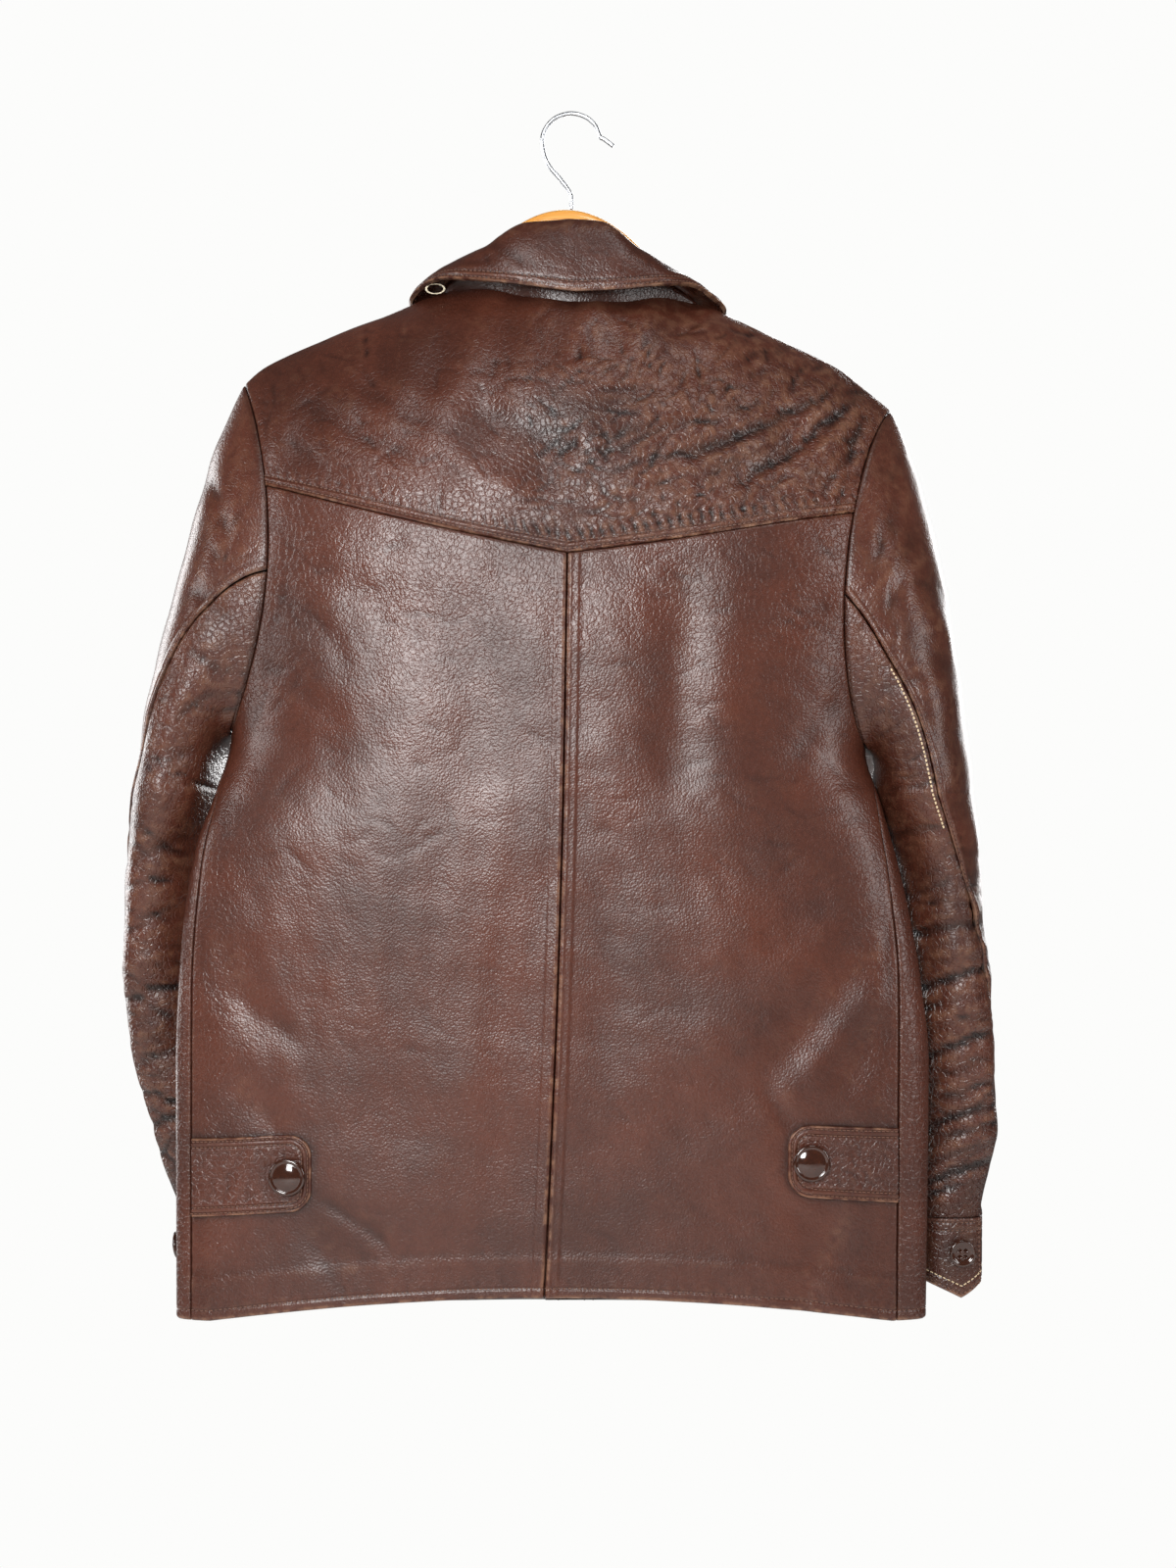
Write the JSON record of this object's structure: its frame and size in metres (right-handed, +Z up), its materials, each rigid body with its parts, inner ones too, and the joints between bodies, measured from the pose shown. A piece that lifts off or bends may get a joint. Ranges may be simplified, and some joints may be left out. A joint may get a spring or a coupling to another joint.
{
  "type": "leather coat on a hanger",
  "caption": "Hip-length worn leather coat hanging closed on a shaped wooden hanger, with a V back yoke, turned-down collar, buttoned waist tabs and long sleeves.",
  "frame": {"origin": "the underside of the hook's crown, where the hanger hangs on a rail", "axes": "+Z up, +X to the right of someone facing the coat's back, +Y from the coat's back to its front"},
  "size_m": [0.606, 0.1618, 0.8289],
  "materials": {
    "brown_leather": "worn semi-gloss grain leather with creases",
    "dark_button": "polished, domed",
    "pale_cord": "thin twisted cord",
    "varnished_wood": "clear varnish",
    "plated_wire": "plated, slightly dull"
  },
  "bodies": {
    "root": {"back_yoke": "brown_leather", "back_left": "brown_leather", "back_right": "brown_leather", "front_left": "brown_leather", "front_right": "brown_leather", "sleeve_left_top": "brown_leather", "sleeve_left_under": "brown_leather", "sleeve_right_top": "brown_leather", "sleeve_right_under": "brown_leather", "cuff_left": "brown_leather", "cuff_right": "brown_leather", "collar_stand": "brown_leather", "collar_fall": "brown_leather", "tab_left": "brown_leather", "tab_right": "brown_leather", "tab_button_left": "dark_button", "tab_button_right": "dark_button", "cuff_button_left": "dark_button", "cuff_button_right": "dark_button", "front_button_1": "dark_button", "front_button_2": "dark_button", "front_button_3": "dark_button", "front_button_4": "dark_button", "collar_loop": "pale_cord", "hanger_body": "varnished_wood", "hanger_hook": "plated_wire"}
  },
  "joints": []
}
